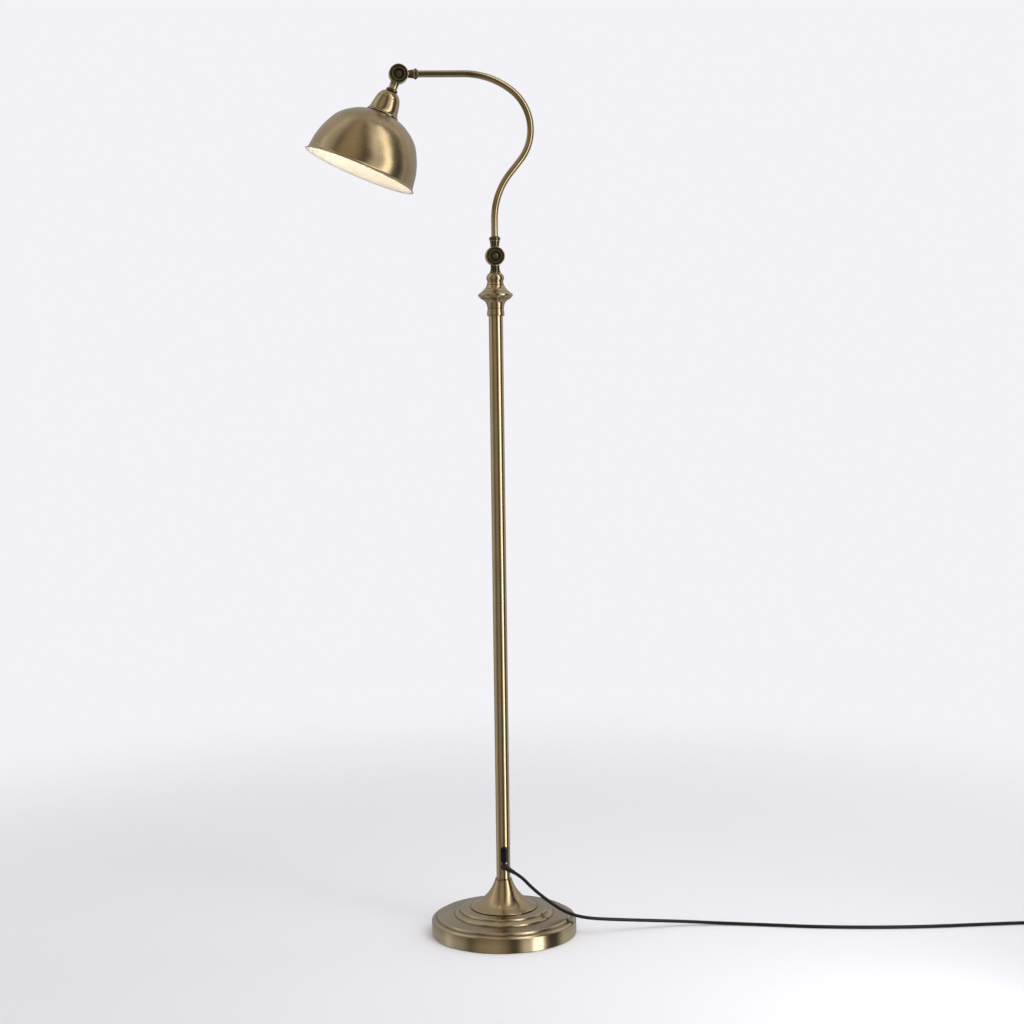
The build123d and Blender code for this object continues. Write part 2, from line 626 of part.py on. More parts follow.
def cord_tube(points, name):
    radii = corner_radii(points)
    path = FilletPolyline(*points, radius=radii)
    start = Plane(Vector(*points[0]), z_dir=Vector(*points[1]) - Vector(*points[0]))
    tube = sweep(start * Circle(CORD_DIAMETER / 2), path=path)
    expected = path.length * pi * CORD_DIAMETER ** 2 / 4
    print(name, "length", round(path.length, 1), "volume ratio", round(tube.volume / expected, 4))
    print("  radii", [round(radius) for radius in radii])
    return tube


def power_cord():
    return cord_tube(CORD_ROUTE, "power_cord")


def cord_coil():
    """Outer shape of the neatly wound coil: turns side by side in layers."""
    half = CORD_DIAMETER / 2
    inner = COIL_TURN_RADII[0] - half
    outer = COIL_TURN_RADII[-1] + half
    top = COIL_LAYERS * CORD_DIAMETER + 0.2
    body = cylinder(outer, 0.2, top) - cylinder(inner, 0, top + 1)
    return Pos(*COIL_CENTRE, 0) * fillet(body.edges(), half - 0.1)


def cord_tail():
    return cord_tube(TAIL_ROUTE, "cord_tail")


def at_plug():
    """Where the tail enters the plug: local Z runs from the cord towards the pins."""
    end = Vector(*TAIL_ROUTE[-1])
    return Plane(end, x_dir=(1, 0, 0), z_dir=(0, 1, 0))


def plug_body():
    grip = loft([
        Plane.XY * RectangleRounded(11, 11, 5.2),
        Plane.XY.offset(13) * RectangleRounded(PLUG_WIDTH - 7, PLUG_THICKNESS - 1, 6.0),
        Plane.XY.offset(24) * RectangleRounded(PLUG_WIDTH, PLUG_THICKNESS, 6.4),
        Plane.XY.offset(PLUG_BODY_LENGTH) * RectangleRounded(PLUG_WIDTH - 1, PLUG_THICKNESS - 1, 6.0),
    ])
    return at_plug() * grip


def plug_pins():
    pin = cylinder(PIN_RADIUS, PLUG_BODY_LENGTH, PLUG_BODY_LENGTH + PIN_LENGTH)
    pin = fillet(pin.edges().group_by(Axis.Z)[-1], 1.4)
    left = Pos(-PIN_SPACING / 2, 0, 0) * pin
    right = Pos(PIN_SPACING / 2, 0, 0) * pin
    return at_plug() * Compound([left, right])


PIECES = {
    "base_felt_pad": base_felt_pad,
    "base_weight": base_weight,
    "base_cover": base_cover,
    "base_trumpet": base_trumpet,
    "base_collar": base_collar,
    "base_tie_sleeve": base_tie_sleeve,
    "base_tie_bolt": base_tie_bolt,
    "base_washer": base_washer,
    "lower_pole_tube": lower_pole_tube,
    "upper_pole_tube": upper_pole_tube,
    "pole_foot_plug": pole_foot_plug,
    "pole_coupler": pole_coupler,
    "pole_top_plug": pole_top_plug,
    "switch_housing": switch_housing,
    "switch_rocker": switch_rocker,
    "strain_relief": strain_relief,
    "pole_cable": pole_cable,
    "knop_ferrule": knop_ferrule,
    "knop_disc": knop_disc,
    "knop_neck": knop_neck,
    "knop_ring": knop_ring,
    "swivel_stem": swivel_stem,
    "swivel_nut": swivel_nut,
    "lower_knuckle_screw": lambda: AT_LOWER_KNUCKLE * knuckle_screw(),
    "lower_knuckle_nut": lambda: AT_LOWER_KNUCKLE * knuckle_nut(),
    "arm_lower_knuckle": arm_lower_knuckle,
    "arm_lower_collar": arm_lower_collar,
    "arm_tube": arm_tube,
    "arm_cable": arm_cable,
    "arm_tip_collar": arm_tip_collar,
    "arm_tip_knuckle": arm_tip_knuckle,
    "head_knuckle": head_knuckle,
    "head_knuckle_screw": lambda: AT_HEAD * knuckle_screw(),
    "head_knuckle_nut": lambda: AT_HEAD * knuckle_nut(),
    "head_ring": head_ring,
    "socket_cup": socket_cup,
    "head_nipple": head_nipple,
    "head_cable": head_cable,
    "holder_nut": holder_nut,
    "holder_cap": holder_cap,
    "holder_skirt": holder_skirt,
    "holder_contact": holder_contact,
    "shade_ring": shade_ring,
    "shade": shade,
    "shade_lining": shade_lining,
    "bulb_cap": bulb_cap,
    "bulb_globe": bulb_globe,
    "power_cord": power_cord,
    "cord_coil": cord_coil,
    "cord_tail": cord_tail,
    "plug_body": plug_body,
    "plug_pins": plug_pins,
}

os.makedirs("parts", exist_ok=True)
print("head pivot", HEAD_PIVOT)
for name, make in PIECES.items():
    export_step(make(), f"parts/{name}.step")
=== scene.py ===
import json
from collections import namedtuple
from math import cos, pi, radians, sin

import bmesh
import bpy
from mathutils import Matrix, Vector


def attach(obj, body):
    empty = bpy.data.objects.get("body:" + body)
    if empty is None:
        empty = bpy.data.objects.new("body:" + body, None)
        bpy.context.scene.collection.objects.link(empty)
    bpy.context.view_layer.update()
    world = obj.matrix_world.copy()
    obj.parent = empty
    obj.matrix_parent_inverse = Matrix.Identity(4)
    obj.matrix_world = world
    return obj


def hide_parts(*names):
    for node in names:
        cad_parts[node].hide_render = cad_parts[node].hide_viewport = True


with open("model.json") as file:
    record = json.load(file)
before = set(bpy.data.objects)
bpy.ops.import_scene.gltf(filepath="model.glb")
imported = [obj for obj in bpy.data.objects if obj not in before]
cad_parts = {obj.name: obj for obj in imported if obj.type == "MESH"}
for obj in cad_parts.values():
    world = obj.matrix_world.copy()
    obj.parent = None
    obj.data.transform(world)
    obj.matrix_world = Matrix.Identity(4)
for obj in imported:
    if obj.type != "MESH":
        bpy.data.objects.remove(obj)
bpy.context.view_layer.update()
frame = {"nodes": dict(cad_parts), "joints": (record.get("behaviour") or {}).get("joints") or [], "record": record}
NODES = frame["nodes"]
HEAD_ANGLE = radians(23.2)


def joint_place(name):
    """Point that the named joint turns about."""
    return Vector(next(joint["pos_m"] for joint in frame["joints"] if joint["name"] == name))


HEAD_PIVOT = joint_place("head_tilt")
LOWER_PIVOT = joint_place("arm_tilt")

# ---- camera -----------------------------------------------------------------------------------
CAMERA_DISTANCE = 3.265
CAMERA_HEIGHT = 1.026
CAMERA_AZIMUTH = radians(-7.5)
CAMERA_YAW = radians(0.42)
CAMERA_PITCH = radians(4.68)
CAMERA_ROLL = radians(-0.76)
FOCAL_LENGTH = 65.04


def make_camera():
    heading = CAMERA_AZIMUTH - CAMERA_YAW
    level = cos(CAMERA_PITCH)
    forward = Vector((-sin(heading) * level, cos(heading) * level, -sin(CAMERA_PITCH)))
    right = Vector((cos(heading), sin(heading), 0))
    up = right.cross(forward)
    turned_right = right * cos(CAMERA_ROLL) + up * sin(CAMERA_ROLL)
    turned_up = up * cos(CAMERA_ROLL) - right * sin(CAMERA_ROLL)
    place = Vector((
        CAMERA_DISTANCE * sin(CAMERA_AZIMUTH), -CAMERA_DISTANCE * cos(CAMERA_AZIMUTH), CAMERA_HEIGHT
    ))
    data = bpy.data.cameras.new("camera")
    data.lens = FOCAL_LENGTH
    data.sensor_width = 36.0
    camera = bpy.data.objects.new("camera", data)
    bpy.context.collection.objects.link(camera)
    turn = Matrix((turned_right, turned_up, -forward)).transposed().to_4x4()
    camera.matrix_world = Matrix.Translation(place) @ turn
    bpy.context.scene.camera = camera


# ---- mains cord -------------------------------------------------------------------------------
CORD_DIAMETER = 0.006
CORD_ROUTE = [
    (0.016, -0.024, 0.114), (0.029, -0.0271, 0.1062), (0.046, -0.0294, 0.087), (0.069, -0.033, 0.067),
    (0.094, -0.0365, 0.0485), (0.111, -0.0395, 0.0395), (0.126, -0.042, 0.034), (0.147, -0.042, 0.029),
    (0.175, -0.039, 0.0246), (0.214, -0.034, 0.0196), (0.268, -0.028, 0.0134), (0.335, -0.025, 0.0068),
    (0.402, -0.036, 0.0032), (0.470, -0.057, 0.0032), (0.546, -0.082, 0.0032), (0.628, -0.101, 0.0032),
    (0.706, -0.114, 0.0032), (0.776, -0.121, 0.0032), (0.846, -0.124, 0.0032), (0.906, -0.128, 0.0032),
    (0.956, -0.1305, 0.0032), (1.004, -0.131, 0.0032),
]
CORD_TAIL = [(1.041, -0.080, 0.0092), (1.0416, -0.064, 0.0086), (1.041, -0.050, 0.0078)]
COIL_CENTRE = (1.004, -0.094)
COIL_OUTER_TURN = 0.037
COIL_INNER_TURN = 0.031
COIL_HEIGHTS = (0.0032, 0.0092)
POINTS_PER_TURN = 16
COIL_TURNS = 4.25
JOG = 0.2


def ease(value):
    value = min(max(value, 0.0), 1.0)
    return value * value * (3 - 2 * value)


def coil_points():
    """Turns of the coil: outer and inner turn on the floor, then inner and outer turn on top."""
    points = []
    count = int(COIL_TURNS * POINTS_PER_TURN)
    span = COIL_OUTER_TURN - COIL_INNER_TURN
    for index in range(1, count + 1):
        turns = index / POINTS_PER_TURN
        inwards = ease((turns - 1 + JOG) / JOG)
        outwards = ease((turns - 3 + JOG) / JOG)
        rise = ease((turns - 2 + JOG) / JOG)
        radius = COIL_OUTER_TURN - span * (inwards - outwards)
        height = COIL_HEIGHTS[0] + (COIL_HEIGHTS[1] - COIL_HEIGHTS[0]) * rise
        angle = 2 * pi * turns - pi / 2
        points.append((
            COIL_CENTRE[0] + radius * cos(angle), COIL_CENTRE[1] + radius * sin(angle), height
        ))
    return points


def make_cord():
    points = CORD_ROUTE + coil_points() + CORD_TAIL
    data = bpy.data.curves.new("mains_cord", "CURVE")
    data.dimensions = "3D"
    spline = data.splines.new("NURBS")
    spline.points.add(len(points) - 1)
    for point, place in zip(spline.points, points):
        point.co = (*place, 1.0)
    spline.order_u = 3
    spline.use_endpoint_u = True
    spline.resolution_u = 8
    data.bevel_depth = CORD_DIAMETER / 2
    data.bevel_resolution = 6
    data.use_fill_caps = True
    cord = bpy.data.objects.new("mains_cord", data)
    bpy.context.collection.objects.link(cord)
    cord.data.materials.append(MATERIALS["cord_black"])
    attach(cord, "stand")
    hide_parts("power_cord", "cord_coil", "cord_tail")


# ---- materials --------------------------------------------------------------------------------
MATERIALS = {}


class Nodes:
    """A node tree under construction, with short ways to add nodes and link them."""

    def __init__(self, tree):
        self.tree = tree

    def node(self, kind, settings=None, **inputs):
        made = self.tree.nodes.new("ShaderNode" + kind)
        for key, value in (settings or {}).items():
            setattr(made, key, value)
        for key, value in inputs.items():
            socket = made.inputs[int(key[1:])] if key[0] == "i" and key[1:].isdigit() else None
            self.feed(socket or made.inputs[key.replace("_", " ")], value)
        return made

    def feed(self, socket, value):
        if hasattr(value, "is_output"):
            self.tree.links.new(value, socket)
        else:
            socket.default_value = value

    def math(self, operation, first, second=0.0):
        return self.node("Math", {"operation": operation}, i0=first, i1=second).outputs[0]

    def ramp(self, factor, *stops):
        made = self.node("ValToRGB", Fac=factor)
        elements = made.color_ramp.elements
        while len(elements) < len(stops):
            elements.new(0.5)
        for element, (place, color) in zip(elements, stops):
            element.position = place
            element.color = (*color, 1.0)
        return made.outputs["Color"]

    def scaled(self, factor, low, high):
        return self.node("MapRange", Value=factor, To_Min=low, To_Max=high).outputs[0]

    def noise(self, vector, scale, detail=3.0):
        return self.node("TexNoise", Vector=vector, Scale=scale, Detail=detail).outputs["Fac"]

    def split(self, vector):
        """Components of a vector, by their letters."""
        return self.node("SeparateXYZ", Vector=vector).outputs

    def joined(self, first, second, third=0.0):
        return self.node("CombineXYZ", X=first, Y=second, Z=third).outputs[0]

    def length(self, vector):
        return self.node("VectorMath", {"operation": "LENGTH"}, i0=vector).outputs["Value"]

    def less(self, vector, origin):
        """The vector as seen from the origin."""
        return self.node("VectorMath", {"operation": "SUBTRACT"}, i0=vector, i1=origin).outputs[0]

    def turned(self, vector, axis, angle):
        kind = {"rotation_type": axis + "_AXIS"}
        return self.node("VectorRotate", kind, Vector=vector, Angle=angle).outputs[0]


BRIGHT, CLEAR = (1, 1, 1), (0, 0, 0)
BETWEEN_RINGS = (0.05, 0.05, 0.05)
KNUCKLE_REACH = 0.02
KNUCKLE_BEAD = (0.0094, 0.0100, 0.0112, 0.0120)
KNUCKLE_RIM = (0.0154, 0.0160, 0.0170, 0.0176)
KNUCKLE_CHEEK = 0.0064
EDGES_FROM, EDGES_FULL = 0.515, 0.56


class Shader(Nodes):
    """A material under construction, with a Principled shader as its surface."""

    def __init__(self, name, **constants):
        self.material = bpy.data.materials.new(name)
        self.material.use_nodes = True
        super().__init__(self.material.node_tree)
        self.surface = self.tree.nodes["Principled BSDF"]
        for socket, value in constants.items():
            self.surface.inputs[socket.replace("_", " ")].default_value = value
        MATERIALS[name] = self.material

    def object_space(self, axis="pole"):
        """Object coordinates, with Z along the pole or along the head's own axis."""
        place = self.node("TexCoord").outputs["Object"]
        if axis == "head":
            return self.turned(self.less(place, HEAD_PIVOT), "Y", -HEAD_ANGLE)
        return place

    def round_axis(self, place, around, along, outwards):
        """Cylindrical coordinates scaled for a texture: angle, height and radius."""
        split = self.split(place)
        angle = self.math("ARCTAN2", split["Y"], split["X"])
        radius = self.length(self.joined(split["X"], split["Y"]))
        return self.joined(
            self.math("MULTIPLY", angle, around), self.math("MULTIPLY", split["Z"], along),
            self.math("MULTIPLY", radius, outwards),
        )

    def occlusion_shade(self, reach):
        """Ambient occlusion, 0 in recesses and corners and 1 on open surface: used to paint shade into them."""
        return self.node("AmbientOcclusion", {"samples": 8}, Distance=reach).outputs["AO"]

    def rubbed_glint_edges(self):
        """1 on raised edges and beads, 0 elsewhere: where rubbing and painted highlights brighten the metal."""
        pointed = self.node("NewGeometry").outputs["Pointiness"]
        return self.ramp(pointed, (EDGES_FROM, CLEAR), (EDGES_FULL, BRIGHT))

    def polish_highlight_rings(self, pivot):
        """1 on the bead and the rim of a knuckle's flat faces, little or nothing elsewhere: painted highlight,
        with polish.
        """
        split = self.split(self.less(self.object_space(), pivot))
        radius = self.length(self.joined(split["X"], split["Z"]))
        levels = (CLEAR, BRIGHT, BRIGHT, BETWEEN_RINGS, BETWEEN_RINGS, BRIGHT, BRIGHT, CLEAR)
        places = [place / KNUCKLE_REACH for place in KNUCKLE_BEAD + KNUCKLE_RIM]
        rings = self.ramp(self.math("MULTIPLY", radius, 1 / KNUCKLE_REACH), *zip(places, levels))
        outside = self.math("GREATER_THAN", self.math("ABSOLUTE", split["Y"]), KNUCKLE_CHEEK)
        return self.math("MULTIPLY", rings, outside)

    def marks(self, distance, rings, places):
        """1 along narrow rings at these distances, 0 elsewhere."""
        start, end = rings.span
        share = self.node("MapRange", Value=distance, From_Min=start, From_Max=end).outputs[0]
        stops = []
        for place in sorted(places):
            for offset, level in ((-rings.half, CLEAR), (0.0, BRIGHT), (rings.half, CLEAR)):
                stops.append(((place + offset - start) / (end - start), level))
        return self.ramp(share, *stops)

    def stretch_highlights(self, direction):
        """Draws reflections out across the turning lines."""
        self.surface.inputs["Anisotropic"].default_value = 0.65
        self.surface.inputs["Anisotropic Rotation"].default_value = 0.25
        tangent = self.node("Tangent", {"direction_type": direction})
        if direction == "RADIAL":
            tangent.axis = "Z"
        self.feed(self.surface.inputs["Tangent"], tangent.outputs[0])

    def bump(self, height, strength, distance):
        made = self.node("Bump", Strength=strength, Distance=distance, Height=height)
        self.feed(self.surface.inputs["Normal"], made.outputs[0])

    def color(self, value):
        self.feed(self.surface.inputs["Base Color"], value)

    def roughness(self, value):
        self.feed(self.surface.inputs["Roughness"], value)

    def mix(self, factor, first, second, blend="MIX"):
        made = self.node("Mix", {"data_type": "RGBA", "blend_type": blend}, i0=factor, i6=first, i7=second)
        return made.outputs[2]


# Marks on turned metal: dark lines at the steps, painted shade with patina, and bright lines on their edges,
# painted highlights with polish. The distances run along the axis, or across it, and lie within the span;
# half is half a mark's width.
Rings = namedtuple("Rings", "across span hollows ridges half")
KNOP_RINGS = Rings(
    False, (1.09, 1.20), (1.1174, 1.1346, 1.1460, 1.1585, 1.1644), (1.1086, 1.1408, 1.1706), 0.0011
)
CUP_RINGS = Rings(False, (-0.09, -0.03), (-0.0464, -0.0716), (-0.0440, -0.0738), 0.0009)
BASE_RINGS = Rings(
    True, (0.04, 0.14), (0.0605, 0.0797, 0.0893, 0.1213), (0.0765, 0.0860, 0.1178, 0.1275), 0.0014
)

# The tones of a metal are its light and dark patina and a near-black tone that is painted shade, with patina, in
# its recesses and corners.
BRASS = (0.46, 0.35, 0.20), (0.37, 0.28, 0.155), (0.05, 0.035, 0.02)
BASE_BRASS = (0.43, 0.335, 0.21), (0.34, 0.265, 0.16), (0.02, 0.014, 0.008)
BRONZE = (0.17, 0.135, 0.085), (0.08, 0.063, 0.04), (0.008, 0.006, 0.004)
BARE_BRASS = (0.80, 0.60, 0.28), (0.70, 0.50, 0.22), (0.2, 0.12, 0.05)
DARK_STEEL = (0.20, 0.165, 0.115), (0.12, 0.10, 0.07), (0.01, 0.008, 0.006)
ZINC = (0.62, 0.63, 0.65), (0.50, 0.51, 0.53), (0.1, 0.1, 0.1)
NICKEL = (0.78, 0.77, 0.74), (0.68, 0.67, 0.64), (0.2, 0.2, 0.2)
ALUMINIUM = (0.80, 0.80, 0.80), (0.70, 0.70, 0.71), (0.3, 0.3, 0.3)
IRON = (0.13, 0.13, 0.135), (0.09, 0.09, 0.09), (0.02, 0.02, 0.02)
# Bare brass tone laid on rubbed edges and as painted highlight on edges and rings.
RUBBED_GLINT_BRASS = (0.62, 0.50, 0.31, 1)

BRUSHING_AROUND = 3.0
BRUSHING_ACROSS = 1500.0
# Reach of the ambient occlusion that paints shade into recesses and corners.
OCCLUSION_SHADE_REACH = 0.005


def metal(name, tones, polish, axis="pole", turned="", rubbed_glint_amount=0.5, knuckle=None, rings=None):
    """Old metal: fine turning lines round its axis, cloudy patina, painted shade with patina in recesses, painted
    highlights with rubbing on edges.
    """
    light, dark, patina_and_shade = tones
    made = Shader(name, Metallic=1.0)
    if turned:
        made.stretch_highlights(turned)
    place = made.object_space(axis)
    lines = made.round_axis(place, BRUSHING_AROUND, BRUSHING_ACROSS, BRUSHING_ACROSS)
    brushing = made.noise(lines, 1.0, 2.0)
    patina = made.noise(place, 26.0, 4.0)
    shade = made.scaled(brushing, 0.90, 1.08)
    tone = made.ramp(patina, (0.32, dark), (0.68, light))
    tone = made.mix(1.0, tone, made.joined(shade, shade, shade), "MULTIPLY")
    # Painted shade: ambient occlusion darkens recesses and corners towards the near-black tone, together with
    # patina.
    clear_of_occlusion_shade = made.ramp(made.occlusion_shade(OCCLUSION_SHADE_REACH), (0.50, CLEAR), (0.88, BRIGHT))
    tone = made.mix(clear_of_occlusion_shade, (*patina_and_shade, 1), tone)
    # Painted highlight: raised edges and beads brightened towards bare brass, together with real rubbing.
    rubbed_glint_mask = made.math("MULTIPLY", made.rubbed_glint_edges(), rubbed_glint_amount)
    if rings is not None:
        split = made.split(place)
        distance = made.length(made.joined(split["X"], split["Y"])) if rings.across else split["Z"]
        # Painted shade: dark lines at the steps of the turning, together with patina.
        patina_shade_mask = made.math("MULTIPLY", made.marks(distance, rings, rings.hollows), 0.85)
        tone = made.mix(patina_shade_mask, tone, (*patina_and_shade, 1))
        # Painted highlight: bright lines on the edges of the steps, together with polish.
        polish_highlight_mask = made.math("MULTIPLY", made.marks(distance, rings, rings.ridges), 0.75)
        rubbed_glint_mask = made.math("MAXIMUM", rubbed_glint_mask, polish_highlight_mask)
    if knuckle is not None:
        # Painted highlight on the knuckle's bead and rim, together with polish.
        polish_highlight_mask = made.math("MULTIPLY", made.polish_highlight_rings(knuckle), 0.8)
        rubbed_glint_mask = made.math("MAXIMUM", rubbed_glint_mask, polish_highlight_mask)
    made.color(made.mix(rubbed_glint_mask, tone, RUBBED_GLINT_BRASS))
    fine = made.scaled(brushing, polish - 0.03, polish + 0.05)
    made.roughness(made.math("ADD", fine, made.scaled(patina, -0.03, 0.05)))
    made.bump(brushing, 0.12, 0.0002)


def make_materials():
    metal("antique_brass", BRASS, 0.19, turned="UV_MAP")
    metal("knop_brass", BRASS, 0.19, turned="UV_MAP", rings=KNOP_RINGS)
    metal("cup_brass", BRASS, 0.21, axis="head", turned="UV_MAP", rings=CUP_RINGS)
    metal("brass_tube", BRASS, 0.17, turned="RADIAL")
    metal("brass_arm", BRASS, 0.17)
    metal("base_brass", BASE_BRASS, 0.22, turned="UV_MAP", rubbed_glint_amount=0.8, rings=BASE_RINGS)
    metal("brass_head", BRASS, 0.24, axis="head", turned="UV_MAP")
    metal("bronze_lower", BRONZE, 0.20, rubbed_glint_amount=0.9, knuckle=LOWER_PIVOT)
    metal("bronze_upper", BRONZE, 0.20, rubbed_glint_amount=0.9, knuckle=HEAD_PIVOT)
    metal("plain_brass", BARE_BRASS, 0.25)
    metal("knuckle_steel", DARK_STEEL, 0.24, rubbed_glint_amount=0.8)
    metal("zinc_steel", ZINC, 0.32)
    metal("pin_metal", NICKEL, 0.18)
    metal("lamp_cap", ALUMINIUM, 0.25, axis="head")
    metal("cast_iron", IRON, 0.6)
    plastic("switch_plastic", (0.006, 0.006, 0.006), 0.22, 900.0, 0.10)
    plastic("relief_rubber", (0.007, 0.007, 0.007), 0.36, 700.0, 0.15)
    plastic("cord_black", (0.005, 0.005, 0.005), 0.42, 500.0, 0.12)
    plastic("plug_black", (0.007, 0.007, 0.007), 0.34, 650.0, 0.20)
    plastic("holder_plastic", (0.02, 0.02, 0.02), 0.25, 600.0, 0.08)
    plastic("inner_lead", (0.35, 0.35, 0.36), 0.45, 500.0, 0.1)
    enamel()
    felt()
    opal_glass()


def plastic(name, tone, polish, grain, depth):
    """Moulded plastic or rubber: fine pebbled skin and slightly uneven gloss."""
    made = Shader(name, Specular_IOR_Level=0.35)
    place = made.object_space()
    pebbles = made.noise(place, grain * 3, 2.0)
    handling = made.noise(place, 40.0, 3.0)
    lighter = tuple(value * 1.6 + 0.002 for value in tone)
    made.color(made.ramp(handling, (0.35, tone), (0.75, lighter)))
    smooth = made.scaled(handling, polish - 0.05, polish + 0.07)
    made.roughness(made.math("ADD", smooth, made.scaled(pebbles, -0.03, 0.03)))
    made.bump(pebbles, depth, 0.0001)


def enamel():
    made = Shader("white_enamel", Coat_Weight=0.25, Coat_Roughness=0.15)
    place = made.object_space("head")
    cloud = made.noise(place, 30.0, 3.0)
    made.color(made.ramp(cloud, (0.3, (0.90, 0.86, 0.76)), (0.7, (0.94, 0.91, 0.84))))
    made.roughness(made.scaled(cloud, 0.30, 0.42))
    made.bump(made.noise(place, 700.0, 2.0), 0.08, 0.0002)


def felt():
    made = Shader("felt", Sheen_Weight=0.4, Sheen_Roughness=0.5)
    place = made.object_space()
    fibres = made.noise(place, 2500.0, 3.0)
    made.color(made.ramp(fibres, (0.3, (0.02, 0.02, 0.021)), (0.7, (0.06, 0.06, 0.063))))
    made.roughness(made.scaled(fibres, 0.85, 0.98))
    made.bump(fibres, 0.5, 0.0004)


def opal_glass():
    made = Shader("lamp_glass", Emission_Strength=7.5)
    place = made.object_space("head")
    cloud = made.noise(place, 60.0, 3.0)
    made.color(made.ramp(cloud, (0.3, (0.96, 0.93, 0.86)), (0.7, (1.0, 0.97, 0.92))))
    made.surface.inputs["Emission Color"].default_value = (1.0, 0.89, 0.72, 1.0)
    made.roughness(made.scaled(cloud, 0.25, 0.35))


def dress_cad_nodes():
    """Gives each CAD node's material slots the finish of its record slot."""
    slots = {part["node"]: part["material_slot"] for part in frame["record"]["subparts"]}
    special = {
        "lower_pole_tube": "brass_tube", "base_collar": "brass_tube", "arm_tube": "brass_arm",
        "plug_body": "plug_black", "swivel_stem": "bronze_lower", "arm_lower_knuckle": "bronze_lower",
        "arm_lower_collar": "bronze_lower", "arm_tip_collar": "bronze_upper",
        "arm_tip_knuckle": "bronze_upper", "head_knuckle": "bronze_upper", "head_ring": "bronze_upper",
    }
    for name, piece in NODES.items():
        finish = MATERIALS[special.get(name) or slots[name]]
        for index in range(len(piece.material_slots)):
            piece.material_slots[index].material = finish


# ---- turned pieces ----------------------------------------------------------------------------
AROUND = 160
POLE_RADIUS = 0.0125
POLE_SEAM, POLE_TOP = 0.598, 1.104
HOLLOW = 0.0012
SHADE_SHEET = 0.001
ENAMEL_COAT = 0.0004
FERRULE_BORE = 0.009
NECK_BORE = 0.0051
COVER_OUTLINE = [
    (0.130, 0.0012), (0.130, 0.025), (0.127, 0.0282), (0.121, 0.0293), (0.118, 0.0332), (0.089, 0.0345),
    (0.0872, 0.0372), (0.084, 0.0388), (0.079, 0.042), (0.077, 0.0447), (0.057, 0.0464), (0.040, 0.0464),
]
COVER_ROUNDING = [0.0024, 0.0016, 0.0014, 0.0012, 0.0012, 0.0010, 0.0020, 0.0012, 0.0012, 0.006]
TRUMPET_OUTLINE = [
    (0.0582, 0.0482), (0.0436, 0.0566), (0.0304, 0.0692), (0.0222, 0.0803), (0.0173, 0.0904),
    (0.0152, 0.0966),
]
FOOT_OUTLINE = [(0.0480, 0.0464), (0.0585, 0.0464), (0.059, 0.0469), (0.059, 0.0477), (0.0585, 0.0482)]
SHADE_OUTLINE = [
    (0.0200, 0.0729), (0.046, 0.0822), (0.0702, 0.1004), (0.0844, 0.124), (0.0928, 0.148), (0.0963, 0.170),
]
SHADE_LIP = [(0.0969, 0.1744), (0.0982, 0.1770), (0.1005, 0.1790)]
CUP_SHOULDER = [(0.0116, 0.034), (0.015, 0.0364), (0.0188, 0.0416), (0.0204, 0.046)]
CUP_SKIRT = [
    (0.0209, 0.0466), (0.023, 0.0556), (0.0249, 0.066), (0.0266, 0.071), (0.0284, 0.0732), (0.0284, 0.0745),
]


def through(points, steps=8):
    """Smooth curve through the points, as more points."""
    rows = [Vector(point) for point in points]
    rows = [rows[0] * 2 - rows[1], *rows, rows[-1] * 2 - rows[-2]]
    curve = []
    for before, start, end, after in zip(rows, rows[1:], rows[2:], rows[3:]):
        for step in range(steps):
            t = step / steps
            curve.append(
                start * (1 - 3 * t * t + 2 * t ** 3) + end * (3 * t * t - 2 * t ** 3)
                + (end - before) / 2 * (t - 2 * t * t + t ** 3) + (after - start) / 2 * (t ** 3 - t * t)
            )
    return curve + [rows[-2]]


def rounded(points, radii, steps=5):
    """The outline with its inner corners replaced by arcs."""
    rows = [Vector(point) for point in points]
    curve = [rows[0]]
    for before, corner, after, radius in zip(rows, rows[1:], rows[2:], radii):
        back = (before - corner).normalized()
        ahead = (after - corner).normalized()
        half = back.angle(ahead) / 2
        reach = radius / max(0.05, abs(sin(half) / cos(half)))
        reach = min(reach, 0.45 * (before - corner).length, 0.45 * (after - corner).length)
        for step in range(steps + 1):
            t = step / steps
            first = corner + back * reach * (1 - t)
            second = corner + ahead * reach * t
            curve.append(first.lerp(second, t))
    return curve + [rows[-1]]


def lathe(name, outline, replaced, finish, sharp=35, body="stand"):
    """Turns a closed outline of (radius, height) about the pole, or of (radius, depth) about the head."""
    head = body == "head"
    mesh = bmesh.new()
    rings = []
    for radius, height in outline:
        ring = []
        for index in range(AROUND):
            angle = 2 * pi * index / AROUND
            place = Vector((radius * cos(angle), radius * sin(angle), -height if head else height))
            ring.append(mesh.verts.new(place))
        rings.append(ring)
    mesh.verts.index_update()
    for first, second in zip(rings, rings[1:] + rings[:1]):
        for index in range(AROUND):
            after = (index + 1) % AROUND
            mesh.faces.new((first[index], first[after], second[after], second[index]))
    bmesh.ops.recalc_face_normals(mesh, faces=mesh.faces)
    chart = mesh.loops.layers.uv.new("turning")
    for face in mesh.faces:
        numbers = [corner.vert.index % AROUND for corner in face.loops]
        for corner, number in zip(face.loops, numbers):
            turn = 1.0 if number == 0 and AROUND - 1 in numbers else number / AROUND
            corner[chart].uv = (turn, corner.vert.index // AROUND / len(rings))
    data = bpy.data.meshes.new(name)
    mesh.to_mesh(data)
    if head:
        data.transform(Matrix.Translation(HEAD_PIVOT) @ Matrix.Rotation(HEAD_ANGLE, 4, "Y"))
    data.shade_smooth()
    data.set_sharp_from_angle(angle=radians(sharp))
    data.materials.append(MATERIALS[finish])
    piece = bpy.data.objects.new(name, data)
    bpy.context.collection.objects.link(piece)
    piece.modifiers.new("even_normals", "WEIGHTED_NORMAL").keep_sharp = True
    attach(piece, body)
    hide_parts(replaced)


